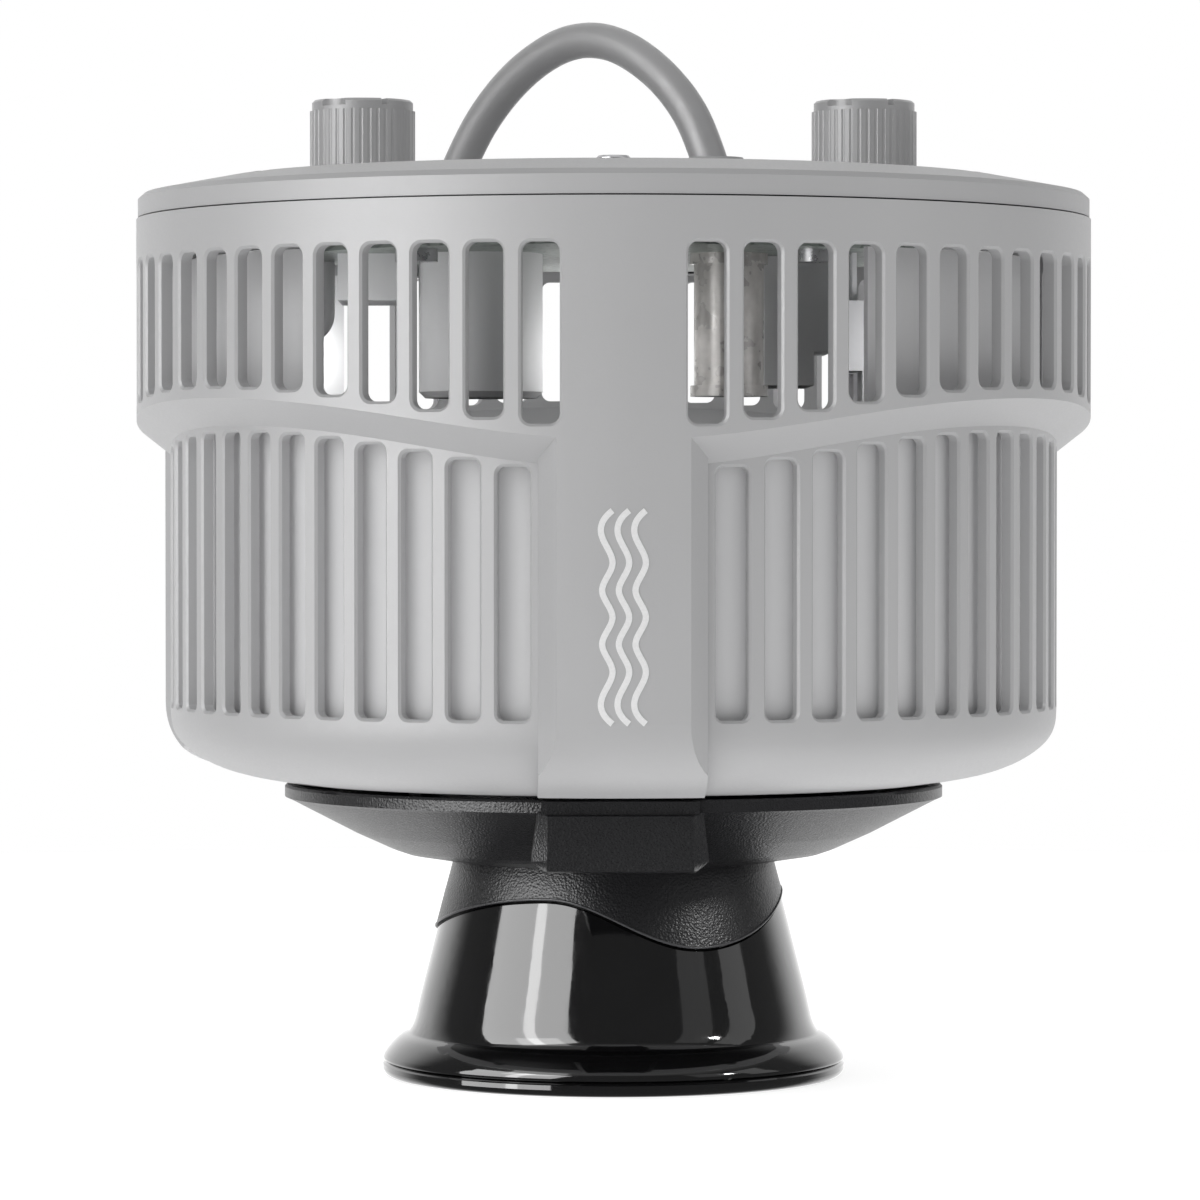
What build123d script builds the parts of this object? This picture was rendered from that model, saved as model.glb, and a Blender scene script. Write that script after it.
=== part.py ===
"""Aquarium pendant light with a twist-on narrow reflector.

Millimetres. +Z is up, the front pillar faces -Y, and the origin is the centre of the reflector's
rim, on the surface that the rim stands on. Angles run from the front towards +X.
"""

from build123d import *
import os
from math import cos, radians, sin, tan

# Housing: a drum with a wider ring on top and three pillars
RING_R = 62.5
DRUM_R = 58.1
RING_WALL = 1.8
DRUM_WALL = 1.6
SEAM_Z = 112.0
BASE_Z = 38.6
FLOOR_Z = BASE_Z + DRUM_WALL
# One pillar at the front and two towards the rear, with the gaps between them
PILLARS = (0, 113.7, 246.3)
GAPS = ((0, 113.7), (113.7, 246.3), (246.3, 360))
# The ring's lower corner is lowest at the pillars and rises in each gap
CORNER_Z = 85.7
CORNER_SWING = -2.75
UNDERSIDE_SLOPE = 3.4 / 4.4
LIP = 0.35
# Slots: where the first one starts from a pillar, pitch in degrees, width in degrees, corner radius
LOWER_SLOTS = (13.25, 6.23, 4.1, 0.95)
UPPER_SLOTS = (9.28, 6.34, 4.35, 1.25)
LOWER_SLOT_Z = 48.7
UPPER_SLOT_Z = 106.5
# Screws and lugs inside are evenly spaced
THIRDS = (0, 120, 240)
BETWEEN = (60, 180, 300)

# Top cover
COVER_R = 62.3
COVER_Z = SEAM_Z + 0.2
COVER_TOP_Z = 118.8
COVER_WALL = 2.2
COVER_SCREW_R = 50.0
LUG_TOP_Z = 109.6
KNOB_X = 32.95
KNOB_LOW_Z = 118.6
KNOB_STEP_Z = 126.4
KNOB_TOP_Z = 127.8
POT_Z = 109.6
NUT_Z = 112.6
INSERT_TOP_Z = 120.7
INLET_AT = (23.2, 40.3)
JACK_AT = (12.0, 44.9)

# Inside, from the bottom up
LENS_R = 23.5
LENS_Z = BASE_Z + 0.35
LED_BOARD_Z = 47.2
SINK_Z = 49.3
SINK_BASE = 5.0
SINK_R = 53.7
SLEEVE_R = 55.6
FIN_TOP_Z = 66.0
FAN_Z = 67.0
FAN_DEPTH = 15.0
FAN_SCREW_R = 50.2
FAN_SCREW_ANGLES = (45, 135, 225, 315)
SINK_SCREW_R = 44.0
BOARD_Z = 107.2
BOARD_THICK = 1.6
BOARD_R = 42.0
STANDOFF_R = 36.0

# Reflector: dish, satin sleeve, glossy cone, rim
FLANGE_R = 43.2
FLANGE_TOP_Z = 38.3
CONE_TOP_Z = 28.2
CONE_BASE_Z = 7.1
CONE_WALL = 2.3
SLEEVE_PROUD = 0.3
SLEEVE_SEAT = 1.1
SLEEVE_LOW_Z = 15.0
# The sleeve's lower edge: (angle, height) of each low and high point, in turn
SLEEVE_EDGE = [(27, 18.1), (95, 24.4), (150, 18.1), (198, 24.2), (240, 18.1), (337, 24.2)]
LUG_WIDTH = 18.0
LENS_RING_Z = 35.2
TAB_OUTLINE = [
    (-10.3, 36.9),
    (10.3, 36.9),
    (11.0, 30.7),
    (9.3, 29.3),
    (-9.3, 29.3),
    (-11.0, 30.7),
]

# Tether loop: its route is a list chosen by hand
TETHER_D = 4.8
TETHER_ROUTE = [
    (13.6, 4.2, 117.6),
    (12.3, 5.5, 122.2),
    (9.9, 8.0, 128.0),
    (5.6, 12.3, 133.4),
    (0.2, 17.8, 137.3),
    (-5.4, 23.6, 137.9),
    (-10.9, 29.1, 135.1),
    (-15.6, 33.9, 130.5),
    (-19.4, 37.8, 124.6),
    (-22.6, 41.0, 117.1),
]


def at(radius, angle, z=0.0):
    """A point at this radius and height, at an angle from the front towards +X."""
    return (radius * sin(radians(angle)), -radius * cos(radians(angle)), z)


def wave(mean, swing, angle):
    """A height that is lowest at the pillars, for a negative swing, with a broad crest in each gap."""
    start, end = next((a, b) for a, b in GAPS if a <= angle % 360 <= b)
    turn = radians(360 * (angle % 360 - start) / (end - start))
    return mean + swing * (cos(turn) + 0.1 * cos(2 * turn))


def sleeve_edge(angle):
    """The height of the sleeve's lower edge, eased between its low and high points."""
    first = SLEEVE_EDGE[0]
    points = [*SLEEVE_EDGE, (first[0] + 360, first[1])]
    turned = first[0] + (angle - first[0]) % 360
    for (a, low), (b, high) in zip(points, points[1:]):
        if a <= turned <= b:
            return (low + high) / 2 + (low - high) / 2 * cos(radians(180 * (turned - a) / (b - a)))


def underside(angle):
    """The height of the ring's lower corner."""
    return wave(CORNER_Z, CORNER_SWING, angle)


def facing(radius, angle):
    """The outward plane that touches this radius: its x runs round the object and its y is up."""
    a = radians(angle)
    return Plane(origin=at(radius, angle), x_dir=(cos(a), sin(a), 0), z_dir=(sin(a), -cos(a), 0))


def cone_r(z):
    """The glossy cone's outer radius at a height, a straight taper with a slight bell."""
    share = (CONE_TOP_Z - z) / (CONE_TOP_Z - CONE_BASE_Z)
    return 20.8 + 5.35 * share + 0.35 * share * (1 - share)


def outline(points):
    """A closed outline of (radius, height) points, ready to revolve about Z."""
    with BuildSketch(Plane.XZ) as face:
        with BuildLine():
            Polyline(*points, close=True)
        make_face()
    return face.sketch


def wavy_ring(section, radius, height):
    """A ring of (radius, height above the wave) section that follows a height given by angle."""
    route = [at(radius, a, height(a)) for a in range(0, 360, 10)]
    start_z = route[0][2]
    with BuildPart() as ring:
        with BuildLine() as path:
            Spline(*route, periodic=True)
        with BuildSketch(Plane(origin=(0, 0, 0), x_dir=(0, -1, 0), z_dir=(-1, 0, 0))):
            with BuildLine():
                Polyline(*[(r, start_z + z) for r, z in section], close=True)
            make_face()
        below = path.line.edges()[0].moved(Location((0, 0, -60)))
        sweep(path=path.line, binormal=below)
    return ring.part


def wide_part(radius, raised):
    """The solid inside the upper ring, down to its slanted and wavy underside."""
    under = [(r, raised + (r - RING_R) * UNDERSIDE_SLOPE) for r in (40.0, 75.0)]
    with BuildPart() as wide:
        with BuildSketch(Plane.XY.offset(66.0)):
            Circle(radius)
        extrude(amount=SEAM_Z - 66.0)
        add(wavy_ring([*under, (75.0, -34.0), (40.0, -34.0)], 60.0, underside), mode=Mode.SUBTRACT)
    return wide.part


def pillar(angle):
    """A pillar with slanted sides that follows the drum's bottom curve inwards."""
    with BuildPart() as post:
        with BuildSketch(Plane.XY.offset(BASE_Z)):
            with BuildLine(Plane.XY.rotated((0, 0, angle))):
                Polyline(
                    (-5.85, -66.0),
                    (5.85, -66.0),
                    (10.25, -DRUM_R),
                    (10.25, -40.0),
                    (-10.25, -40.0),
                    (-10.25, -DRUM_R),
                    close=True,
                )
            make_face()
        extrude(amount=60.0)
        with BuildSketch(Plane.XZ):
            with BuildLine():
                Polyline((42.0, BASE_Z), (0, BASE_Z), (0, 98.6), (RING_R, 98.6), (RING_R, 48.5))
                Spline(
                    (RING_R, 48.5),
                    (60.7, 43.6),
                    (56.6, 40.9),
                    (49.5, 39.2),
                    (42.0, BASE_Z),
                    tangents=[(0, -1), (-1, -0.03)],
                )
            make_face()
        revolve(axis=Axis.Z, mode=Mode.INTERSECT)
    return post.part


def slot_cutters(radius, layout, low, high):
    """Cutters for one band of slots, each with a bevelled lip, in all the gaps."""
    first, pitch, width, corner = layout
    cutters = []
    across = 2 * radius * tan(radians(width / 2))
    angles = []
    for start, end in GAPS:
        span = end - start - 2 * first
        steps = round(span / pitch)
        angles += [start + first + span * i / steps for i in range(steps + 1)]
    for angle in angles:
        bottom = low(angle)
        tall = high(angle) - bottom
        with BuildPart() as cutter:
            with BuildSketch(facing(radius - 6.0, angle)):
                with Locations((0, bottom + tall / 2)):
                    RectangleRounded(across, tall, corner)
            extrude(amount=8.0)
            with BuildSketch(facing(radius - LIP, angle)):
                with Locations((0, bottom + tall / 2)):
                    RectangleRounded(across, tall, corner)
            extrude(amount=2 * LIP, taper=-45)
        cutters.append(cutter.part)
    return cutters


def screws(points, low, high, shank_r, head_r, head_height, head_up=True):
    """Pan-head screws at these points, each with a cross recess, as separate solids."""
    head_low = high - head_height if head_up else low
    recess_z = high if head_up else low
    with BuildPart() as group:
        with BuildSketch(Plane.XY.offset(low)):
            with Locations(*points):
                Circle(shank_r)
        extrude(amount=high - low)
        with BuildSketch(Plane.XY.offset(head_low)):
            with Locations(*points):
                Circle(head_r)
        extrude(amount=head_height)
        with BuildSketch(Plane.XY.offset(recess_z)):
            with Locations(*points):
                Rectangle(head_r * 1.2, head_r * 0.3)
                Rectangle(head_r * 0.3, head_r * 1.2)
        extrude(amount=(-0.6 if head_up else 0.6) * head_height, mode=Mode.SUBTRACT)
    return group


def knob(x):
    """A fluted knob with a stepped cap, a pointer notch and a finger scoop in its top edge."""
    with BuildPart() as turned:
        with BuildSketch(Plane.XY.offset(KNOB_LOW_Z)):
            with Locations((x, 0)):
                Circle(6.9)
                with PolarLocations(7.15, 40):
                    Circle(0.36, mode=Mode.SUBTRACT)
        extrude(amount=KNOB_STEP_Z - KNOB_LOW_Z)
        with BuildSketch(Plane.XY.offset(KNOB_STEP_Z)):
            with Locations((x, 0)):
                Circle(6.62)
        extrude(amount=KNOB_TOP_Z - KNOB_STEP_Z)
        chamfer(turned.faces().sort_by(Axis.Z)[-1].edges(), length=0.3)
        with BuildSketch(Plane.XY.offset(KNOB_LOW_Z)):
            with Locations((x, 0)):
                Circle(5.7)
        extrude(amount=2.8, mode=Mode.SUBTRACT)
        with BuildSketch(Plane.XY.offset(KNOB_LOW_Z)):
            with Locations((x, 0)):
                Circle(3.0)
        extrude(amount=7.4, mode=Mode.SUBTRACT)
        with BuildSketch(Plane.XY.offset(KNOB_TOP_Z)):
            with Locations(Location((x, 0), 28.0 - 90.0)):
                with Locations((4.6, 0)):
                    Rectangle(5.0, 0.9)
        extrude(amount=-0.8, mode=Mode.SUBTRACT)
        with BuildSketch(Plane.XY.offset(KNOB_TOP_Z)):
            with Locations(Location((x, 0), -34.0 - 90.0)):
                with Locations((8.2, 0)):
                    Circle(2.6)
        extrude(amount=-0.9, mode=Mode.SUBTRACT)
    return turned


def shaft(x):
    """A potentiometer's shaft, with a flat near its top."""
    with BuildPart() as rod:
        with BuildSketch(Plane.XY.offset(111.4)):
            with Locations((x, 0)):
                Circle(2.95)
        extrude(amount=14.4)
        with BuildSketch(Plane.XY.offset(121.4)):
            with Locations((x, 2.7)):
                Rectangle(6.0, 1.4)
        extrude(amount=4.4, mode=Mode.SUBTRACT)
    return rod


def potentiometer(x):
    """A round potentiometer with a threaded bush and three legs to the board."""
    board_top = BOARD_Z + BOARD_THICK
    with BuildPart() as pot:
        with BuildSketch(Plane.XY.offset(POT_Z)):
            with Locations((x, 0)):
                Circle(8.5)
                with Locations((0, -8.5)):
                    Rectangle(9.0, 4.0)
        extrude(amount=5.9)
        with BuildSketch(Plane.XY.offset(115.5)):
            with Locations((x, 0)):
                Circle(3.45)
        extrude(amount=5.5)
        with BuildSketch(Plane.XY.offset(111.2)):
            with Locations((x, 0)):
                Circle(3.0)
        extrude(amount=10.0, mode=Mode.SUBTRACT)
        with BuildSketch(Plane.XY.offset(board_top)):
            with Locations((x - 2.5, -9.6), (x, -9.6), (x + 2.5, -9.6)):
                Rectangle(0.9, 0.5)
        extrude(amount=1.0)
    return pot


def wire(route, radii, wire_r):
    """A wire along straight runs joined by arcs."""
    with BuildPart() as lead:
        with BuildLine() as path:
            FilletPolyline(*route, radius=radii)
        first = Vector(*route[1]) - Vector(*route[0])
        with BuildSketch(Plane(origin=route[0], z_dir=first)):
            Circle(wire_r)
        sweep(path=path.line)
    return lead


os.makedirs("parts", exist_ok=True)

# ---- Housing shell ----

with BuildPart() as housing_shell:
    with BuildSketch(Plane.XZ):
        with BuildLine():
            Spline(
                (40.0, BASE_Z),
                (45.8, 39.25),
                (52.8, 41.2),
                (56.3, 43.5),
                (DRUM_R, 48.2),
                tangents=[(1, 0.03), (0, 1)],
            )
            Polyline((DRUM_R, 48.2), (DRUM_R, SEAM_Z), (0, SEAM_Z), (0, BASE_Z), (40.0, BASE_Z))
        make_face()
    revolve(axis=Axis.Z)
    add(wide_part(RING_R, 0.0))
    for angle in PILLARS:
        add(pillar(angle))
    with BuildSketch(Plane.XZ):
        with BuildLine():
            Spline(
                (38.0, FLOOR_Z),
                (45.2, 40.95),
                (51.9, 42.8),
                (54.9, 44.9),
                (DRUM_R - DRUM_WALL, 49.0),
                tangents=[(1, 0.03), (0, 1)],
            )
            Polyline(
                (DRUM_R - DRUM_WALL, 49.0),
                (DRUM_R - DRUM_WALL, SEAM_Z),
                (0, SEAM_Z),
                (0, FLOOR_Z),
                (38.0, FLOOR_Z),
            )
        make_face()
    revolve(axis=Axis.Z, mode=Mode.SUBTRACT)
    add(wide_part(RING_R - RING_WALL, 2.0), mode=Mode.SUBTRACT)
    # A channel behind each pillar keeps its wall even
    for angle in PILLARS:
        with BuildSketch(facing(RING_R - RING_WALL, angle)):
            with Locations((0, 66.0)):
                Rectangle(11.0, 32.0)
        extrude(amount=-6.0, mode=Mode.SUBTRACT)
    # Lugs for the cover's screws
    for angle in BETWEEN:
        with BuildSketch(facing(RING_R - RING_WALL + 0.4, angle)):
            with Locations((0, LUG_TOP_Z - 1.4)):
                Rectangle(8.0, 2.8)
        extrude(amount=-15.0)
    # Boss round the lens, and posts that carry the heat sink
    with BuildSketch(Plane.XY.offset(BASE_Z + 1.0)):
        Circle(30.5)
    extrude(amount=3.2)
    with BuildSketch(Plane.XY.offset(BASE_Z + 1.0)):
        with Locations(*[at(SINK_SCREW_R, a) for a in BETWEEN]):
            Circle(3.4)
    extrude(amount=SINK_Z - BASE_Z - 1.0)
    with Locations((0, 0, BASE_Z)):
        Hole(radius=21.8)
    with BuildSketch(Plane.XY.offset(BASE_Z)):
        Circle(LENS_R + 0.7)
    extrude(amount=2.45, mode=Mode.SUBTRACT)
    with BuildSketch(Plane.XY.offset(BASE_Z)):
        with Locations(*[at(28.2, a) for a in THIRDS]):
            Circle(1.2)
    extrude(amount=3.8, mode=Mode.SUBTRACT)
    with BuildSketch(Plane.XY.offset(BASE_Z)):
        with Locations(*[at(SINK_SCREW_R, a) for a in BETWEEN]):
            Circle(1.6)
    extrude(amount=12.0, mode=Mode.SUBTRACT)
    with BuildSketch(Plane.XY.offset(BASE_Z)):
        with Locations(*[at(SINK_SCREW_R, a) for a in BETWEEN]):
            Circle(3.0)
    extrude(amount=2.6, mode=Mode.SUBTRACT)
    with BuildSketch(Plane.XY.offset(LUG_TOP_Z - 4.0)):
        with Locations(*[at(COVER_SCREW_R, a) for a in BETWEEN]):
            Circle(1.25)
    extrude(amount=6.0, mode=Mode.SUBTRACT)
    add(
        slot_cutters(
            DRUM_R,
            LOWER_SLOTS,
            lambda angle: LOWER_SLOT_Z,
            lambda angle: wave(81.5, -2.7, angle),
        ),
        mode=Mode.SUBTRACT,
    )
    add(
        slot_cutters(
            RING_R,
            UPPER_SLOTS,
            lambda angle: wave(87.15, -2.75, angle),
            lambda angle: UPPER_SLOT_Z,
        ),
        mode=Mode.SUBTRACT,
    )
housing_shell.part.label = "housing_shell"
export_step(housing_shell.part, "parts/housing_shell.step")

# White print on the front pillar: three water waves, one above the other
with BuildPart() as printed_mark:
    with BuildSketch(facing(RING_R - 0.5, 0)):
        for middle in (-2.0, 0.0, 2.0):
            with BuildLine():
                crests = [(middle + 0.62 * (-1) ** i, 48.6 + 3.2 * i) for i in range(9)]
                Spline(*crests)
            trace(line_width=0.75)
    extrude(amount=2.0)
    with BuildSketch(Plane.XY.offset(40.0)):
        Circle(RING_R + 0.1)
        Circle(RING_R, mode=Mode.SUBTRACT)
    extrude(amount=40.0, mode=Mode.INTERSECT)
printed_mark.part.label = "printed_mark"
export_step(printed_mark.part, "parts/printed_mark.step")

# ---- Top cover and what is fixed to it ----

with BuildPart() as top_cover:
    with BuildSketch(Plane.XZ):
        with BuildLine():
            ThreePointArc((0, COVER_TOP_Z), (27.0, 118.34), (52.0, 117.1))
            Polyline(
                (52.0, 117.1),
                (61.5, 115.3),
                (COVER_R, 114.6),
                (COVER_R, COVER_Z),
                (59.9, COVER_Z),
                (59.9, 109.9),
                (57.8, 109.9),
                (57.8, 113.6),
                (51.5, 114.93),
            )
            ThreePointArc((51.5, 114.93), (27.0, 116.14), (0, COVER_TOP_Z - COVER_WALL))
            Line((0, COVER_TOP_Z - COVER_WALL), (0, COVER_TOP_Z))
        make_face()
    revolve(axis=Axis.Z)
    with BuildSketch(Plane.XY.offset(LUG_TOP_Z)):
        with Locations(*[at(COVER_SCREW_R, a) for a in BETWEEN]):
            Circle(3.4)
    extrude(amount=6.5)
    # The location lip stops short of each lug
    for angle in BETWEEN:
        with BuildSketch(facing(60.5, angle)):
            with Locations((0, 110.5)):
                Rectangle(9.0, 3.2)
        extrude(amount=-3.2, mode=Mode.SUBTRACT)
    with Locations(*[at(COVER_SCREW_R, a, 117.3) for a in BETWEEN]):
        CounterSinkHole(radius=1.6, counter_sink_radius=3.1, depth=20.0, counter_sink_angle=90)
    with Locations((KNOB_X, 0, 120.0), (-KNOB_X, 0, 120.0)):
        Hole(radius=3.55)
    with Locations((0, 0, 120.0)):
        Hole(radius=2.35)
    with Locations((*TETHER_ROUTE[0][:2], 120.0), (*TETHER_ROUTE[-1][:2], 120.0)):
        Hole(radius=3.2)
    with Locations((*INLET_AT, 120.0)):
        Hole(radius=4.3)
    with Locations((*JACK_AT, 120.0)):
        Hole(radius=3.05)
top_cover.part.label = "top_cover"
export_step(top_cover.part, "parts/top_cover.step")

with BuildPart() as cover_gasket:
    with BuildSketch(Plane.XY.offset(SEAM_Z)):
        Circle(RING_R - 0.7)
        Circle(RING_R - 2.2, mode=Mode.SUBTRACT)
    extrude(amount=COVER_Z - SEAM_Z)
cover_gasket.part.label = "cover_gasket"
export_step(cover_gasket.part, "parts/cover_gasket.step")

# Countersunk screws that hold the cover to the lugs
with BuildPart() as cover_screws:
    with BuildSketch(Plane.XY.offset(105.4)):
        with Locations(*[at(COVER_SCREW_R, a) for a in BETWEEN]):
            Circle(1.22)
    extrude(amount=10.0)
    for angle in BETWEEN:
        with BuildSketch(Plane.XY.offset(117.0)):
            with Locations(at(COVER_SCREW_R, angle)):
                Circle(2.75)
        extrude(amount=-1.75, taper=45)
    with BuildSketch(Plane.XY.offset(117.0)):
        with Locations(*[at(COVER_SCREW_R, a) for a in BETWEEN]):
            Rectangle(3.2, 0.7)
            Rectangle(0.7, 3.2)
    extrude(amount=-0.9, mode=Mode.SUBTRACT)
cover_screws.part.label = "cover_screws"
export_step(cover_screws.part, "parts/cover_screws.step")

# Threaded insert at the centre of the cover, for a hanger
with BuildPart() as mounting_insert:
    with BuildSketch(Plane.XY.offset(NUT_Z)):
        RegularPolygon(radius=5.0, side_count=6)
    extrude(amount=3.9)
    with BuildSketch(Plane.XY.offset(NUT_Z)):
        Circle(2.3)
    extrude(amount=INSERT_TOP_Z - NUT_Z)
    chamfer(mounting_insert.faces().sort_by(Axis.Z)[-1].edges(), length=0.3)
    with BuildSketch(Plane.XY.offset(113.1)):
        Circle(1.65)
    extrude(amount=INSERT_TOP_Z - 113.1, mode=Mode.SUBTRACT)
mounting_insert.part.label = "mounting_insert"
export_step(mounting_insert.part, "parts/mounting_insert.step")


def gland(point, rise):
    """A low strain-relief gland where the tether goes into the cover."""
    with BuildPart() as collar:
        with BuildSketch(Plane.XY.offset(NUT_Z)):
            with Locations(point):
                Circle(3.0)
        extrude(amount=rise - NUT_Z)
        with BuildSketch(Plane.XY.offset(rise)):
            with Locations(point):
                Circle(4.6)
        extrude(amount=1.0)
        with BuildSketch(Plane.XY.offset(rise + 1.0)):
            with Locations(point):
                Circle(4.3)
        extrude(amount=0.9, taper=38)
        with BuildSketch(Plane.XY.offset(NUT_Z)):
            with Locations(point):
                RegularPolygon(radius=4.6, side_count=6)
        extrude(amount=1.8)
    return collar


front_gland = gland(TETHER_ROUTE[0][:2], 118.8)
front_gland.part.label = "front_gland"
export_step(front_gland.part, "parts/front_gland.step")

rear_gland = gland(TETHER_ROUTE[-1][:2], 117.75)
rear_gland.part.label = "rear_gland"
export_step(rear_gland.part, "parts/rear_gland.step")

# The tether's tube: each arc is as large as its two runs allow
runs = [Vector(*b) - Vector(*a) for a, b in zip(TETHER_ROUTE, TETHER_ROUTE[1:])]
tether_radii = []
for before, after in zip(runs, runs[1:]):
    turn = before.get_angle(after)
    shorter = min(before.length, after.length)
    tether_radii.append(0.45 * shorter / tan(radians(turn / 2)))
print("tether radii:", [round(r, 1) for r in tether_radii])

tether_loop = wire(TETHER_ROUTE, tether_radii, TETHER_D / 2)
tether_loop.part.label = "tether_loop"
export_step(tether_loop.part, "parts/tether_loop.step")

# Barrel socket for the power lead, with its centre pin
with BuildPart() as dc_inlet:
    with BuildSketch(Plane.XY.offset(105.0)):
        with Locations(INLET_AT):
            Circle(4.2)
    extrude(amount=14.0)
    with BuildSketch(Plane.XY.offset(117.9)):
        with Locations(INLET_AT):
            Circle(5.0)
    extrude(amount=1.3)
    with BuildSketch(Plane.XY.offset(107.0)):
        with Locations(INLET_AT):
            Circle(2.9)
    extrude(amount=14.0, mode=Mode.SUBTRACT)
    with BuildSketch(Plane.XY.offset(106.5)):
        with Locations(INLET_AT):
            Circle(1.05)
    extrude(amount=11.5)
dc_inlet.part.label = "dc_inlet"
export_step(dc_inlet.part, "parts/dc_inlet.step")

# Small socket for a dimming controller
with BuildPart() as control_jack:
    with BuildSketch(Plane.XY.offset(107.0)):
        with Locations(JACK_AT):
            Circle(3.0)
    extrude(amount=11.6)
    with BuildSketch(Plane.XY.offset(117.7)):
        with Locations(JACK_AT):
            Circle(4.0)
    extrude(amount=1.3)
    with BuildSketch(Plane.XY.offset(109.0)):
        with Locations(JACK_AT):
            Circle(1.8)
    extrude(amount=12.0, mode=Mode.SUBTRACT)
control_jack.part.label = "control_jack"
export_step(control_jack.part, "parts/control_jack.step")

with BuildPart() as socket_nuts:
    for point, hole, side in ((INLET_AT, 4.25, 5.6), (JACK_AT, 3.05, 4.6)):
        with BuildSketch(Plane.XY.offset(NUT_Z)):
            with Locations(point):
                RegularPolygon(radius=side, side_count=6)
                Circle(hole, mode=Mode.SUBTRACT)
        extrude(amount=1.8)
socket_nuts.part.label = "socket_nuts"
export_step(socket_nuts.part, "parts/socket_nuts.step")

# ---- Knobs and potentiometers ----

intensity_knob = knob(-KNOB_X)
intensity_knob.part.label = "intensity_knob"
export_step(intensity_knob.part, "parts/intensity_knob.step")

colour_knob = knob(KNOB_X)
colour_knob.part.label = "colour_knob"
export_step(colour_knob.part, "parts/colour_knob.step")

intensity_shaft = shaft(-KNOB_X)
intensity_shaft.part.label = "intensity_shaft"
export_step(intensity_shaft.part, "parts/intensity_shaft.step")

colour_shaft = shaft(KNOB_X)
colour_shaft.part.label = "colour_shaft"
export_step(colour_shaft.part, "parts/colour_shaft.step")

intensity_pot = potentiometer(-KNOB_X)
intensity_pot.part.label = "intensity_pot"
export_step(intensity_pot.part, "parts/intensity_pot.step")

colour_pot = potentiometer(KNOB_X)
colour_pot.part.label = "colour_pot"
export_step(colour_pot.part, "parts/colour_pot.step")

with BuildPart() as pot_nuts:
    with BuildSketch(Plane.XY.offset(118.35)):
        with Locations((-KNOB_X, 0), (KNOB_X, 0)):
            RegularPolygon(radius=5.2, side_count=6)
            Circle(3.47, mode=Mode.SUBTRACT)
    extrude(amount=1.8)
pot_nuts.part.label = "pot_nuts"
export_step(pot_nuts.part, "parts/pot_nuts.step")

# ---- Driver board and what hangs from it ----

standoff_points = [at(STANDOFF_R, a) for a in FAN_SCREW_ANGLES]

with BuildPart() as driver_board:
    with BuildSketch(Plane.XY.offset(BOARD_Z)):
        Circle(BOARD_R)
        with Locations(*standoff_points):
            Circle(1.6, mode=Mode.SUBTRACT)
    extrude(amount=BOARD_THICK)
driver_board.part.label = "driver_board"
export_step(driver_board.part, "parts/driver_board.step")

with BuildPart() as board_standoffs:
    with BuildSketch(Plane.XY.offset(BOARD_Z + BOARD_THICK)):
        with Locations(*standoff_points):
            RegularPolygon(radius=2.9, side_count=6)
            Circle(1.25, mode=Mode.SUBTRACT)
    extrude(amount=6.7)
board_standoffs.part.label = "board_standoffs"
export_step(board_standoffs.part, "parts/board_standoffs.step")

board_screws = screws(standoff_points, BOARD_Z - 1.6, BOARD_Z + 5.0, 1.2, 2.7, 1.6, head_up=False)
board_screws.part.label = "board_screws"
export_step(board_screws.part, "parts/board_screws.step")

with BuildPart() as bulk_capacitors:
    for point, radius, low in (((-17.4, -12.0), 8.0, 88.6), ((-17.4, 10.0), 7.0, 91.0)):
        with BuildSketch(Plane.XY.offset(low)):
            with Locations(point):
                Circle(radius)
        extrude(amount=BOARD_Z - low)
    chamfer(bulk_capacitors.edges().group_by(Axis.Z)[0], length=0.8)
bulk_capacitors.part.label = "bulk_capacitors"
export_step(bulk_capacitors.part, "parts/bulk_capacitors.step")

# Wound choke: a bobbin with a fat winding between two flanges
with BuildPart() as wound_choke:
    with BuildSketch(Plane.XY.offset(88.8)):
        with Locations((14.6, -14.0)):
            Circle(5.0)
    extrude(amount=1.4)
    with BuildSketch(Plane.XY.offset(90.2)):
        with Locations((14.6, -14.0)):
            Circle(4.5)
    extrude(amount=15.6)
    with BuildSketch(Plane.XY.offset(105.8)):
        with Locations((14.6, -14.0)):
            Circle(5.0)
    extrude(amount=BOARD_Z - 105.8)
wound_choke.part.label = "wound_choke"
export_step(wound_choke.part, "parts/wound_choke.step")

# Potted converter with a stepped side
with BuildPart() as power_module:
    with BuildSketch(Plane.XY.offset(90.4)):
        with Locations((22.75, 4.0)):
            Rectangle(6.5, 22.0)
    extrude(amount=BOARD_Z - 90.4)
    with BuildSketch(Plane.XY.offset(94.8)):
        with Locations((27.2, 4.0)):
            Rectangle(2.6, 22.0)
    extrude(amount=BOARD_Z - 94.8)
power_module.part.label = "power_module"
export_step(power_module.part, "parts/power_module.step")

# Two transistors, each with its metal tab
with BuildPart() as power_transistors:
    for y in (-14.0, 4.0):
        with BuildSketch(Plane.XY.offset(92.0)):
            with Locations((30.6, y)):
                Rectangle(3.2, 10.0)
        extrude(amount=9.0)
        with BuildSketch(Plane.XY.offset(87.6)):
            with Locations((32.0, y)):
                Rectangle(1.0, 10.0)
        extrude(amount=13.4)
        with BuildSketch(Plane.XY.offset(101.0)):
            with Locations((30.6, y - 2.5), (30.6, y), (30.6, y + 2.5)):
                Rectangle(0.6, 0.9)
        extrude(amount=BOARD_Z - 101.0)
power_transistors.part.label = "power_transistors"
export_step(power_transistors.part, "parts/power_transistors.step")

with BuildPart() as filter_choke:
    with BuildSketch(Plane.XY.offset(96.2)):
        with Locations((4.8, 12.0)):
            RectangleRounded(9.6, 14.0, 2.0)
    extrude(amount=BOARD_Z - 96.2)
filter_choke.part.label = "filter_choke"
export_step(filter_choke.part, "parts/filter_choke.step")

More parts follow.
